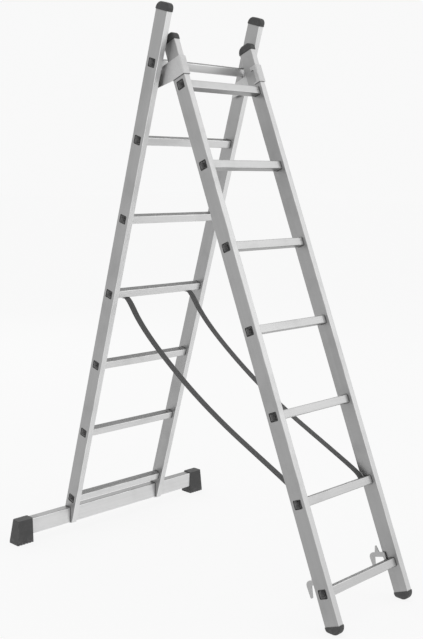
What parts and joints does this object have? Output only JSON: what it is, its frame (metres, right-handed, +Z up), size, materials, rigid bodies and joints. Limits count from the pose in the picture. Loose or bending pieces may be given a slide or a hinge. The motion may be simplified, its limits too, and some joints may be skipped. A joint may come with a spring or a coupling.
{
  "type": "two-section ladder",
  "caption": "Folding two-section aluminium ladder with box stiles, through rungs, a stabiliser bar with rubber boots, hinged brackets, hooks and spreader straps.",
  "frame": {"origin": "on the floor, midway across the ladder and midway between the front toes and the boots' backs", "axes": "+X across to the right as seen from the front section, +Y from the front section to the base section, +Z up"},
  "size_m": [0.964, 1.3228, 1.9268],
  "materials": {
    "stile_aluminium": "satin extruded aluminium, drawn lines along the stile",
    "rung_aluminium": "bright extruded aluminium with a grooved tread",
    "bar_aluminium": "bright extruded aluminium",
    "cap_plastic": "charcoal moulded plastic with a fine grain",
    "boot_rubber": "charcoal rubber, slightly scuffed",
    "foot_rubber": "charcoal rubber, slightly scuffed",
    "bracket_steel": "zinc-plated sheet steel",
    "hook_steel": "zinc-plated sheet steel",
    "strap_webbing": "dark grey woven webbing",
    "bush_nylon": "natural nylon",
    "block_aluminium": "sawn aluminium",
    "clamp_steel": "zinc-plated sheet steel",
    "fastener_steel": "zinc-plated steel"
  },
  "bodies": {
    "base": {"base_cap_left": "cap_plastic", "base_cap_right": "cap_plastic", "base_rung_1": "rung_aluminium", "base_rung_2": "rung_aluminium", "base_rung_3": "rung_aluminium", "base_rung_4": "rung_aluminium", "base_rung_5": "rung_aluminium", "base_rung_6": "rung_aluminium", "base_rung_7": "rung_aluminium", "base_stile_left": "stile_aluminium", "base_stile_right": "stile_aluminium", "pivot_bolt_left": "fastener_steel", "pivot_bolt_right": "fastener_steel", "pivot_bush_left": "bush_nylon", "pivot_bush_right": "bush_nylon", "pivot_insert_left": "fastener_steel", "pivot_insert_right": "fastener_steel", "stabiliser_bar": "bar_aluminium", "stabiliser_bolts": "fastener_steel", "stabiliser_boot_left": "boot_rubber", "stabiliser_boot_right": "boot_rubber", "stabiliser_nut_block_left": "block_aluminium", "stabiliser_nut_block_right": "block_aluminium", "stabiliser_washers": "fastener_steel", "strap_clamp_base_left": "clamp_steel", "strap_clamp_base_right": "clamp_steel", "strap_left": "strap_webbing", "strap_right": "strap_webbing", "strap_rivets_base": "fastener_steel"},
    "front": {"bracket_left": "bracket_steel", "bracket_right": "bracket_steel", "front_cap_left": "cap_plastic", "front_cap_right": "cap_plastic", "front_foot_left": "foot_rubber", "front_foot_right": "foot_rubber", "front_rung_1": "rung_aluminium", "front_rung_2": "rung_aluminium", "front_rung_3": "rung_aluminium", "front_rung_4": "rung_aluminium", "front_rung_5": "rung_aluminium", "front_rung_6": "rung_aluminium", "front_rung_7": "rung_aluminium", "front_stile_left": "stile_aluminium", "front_stile_right": "stile_aluminium", "hook_left": "hook_steel", "hook_right": "hook_steel", "hook_rivets": "fastener_steel", "strap_clamp_front_left": "clamp_steel", "strap_clamp_front_right": "clamp_steel", "strap_rivets_front": "fastener_steel"}
  },
  "joints": [
    {"name": "fold", "type": "hinge", "parent": "base", "child": "front", "pos_m": [0, 0.18342, 1.66958], "axis": [1, 0, 0], "range_deg": [0, 38], "deforming": ["strap_left", "strap_right"]}
  ]
}
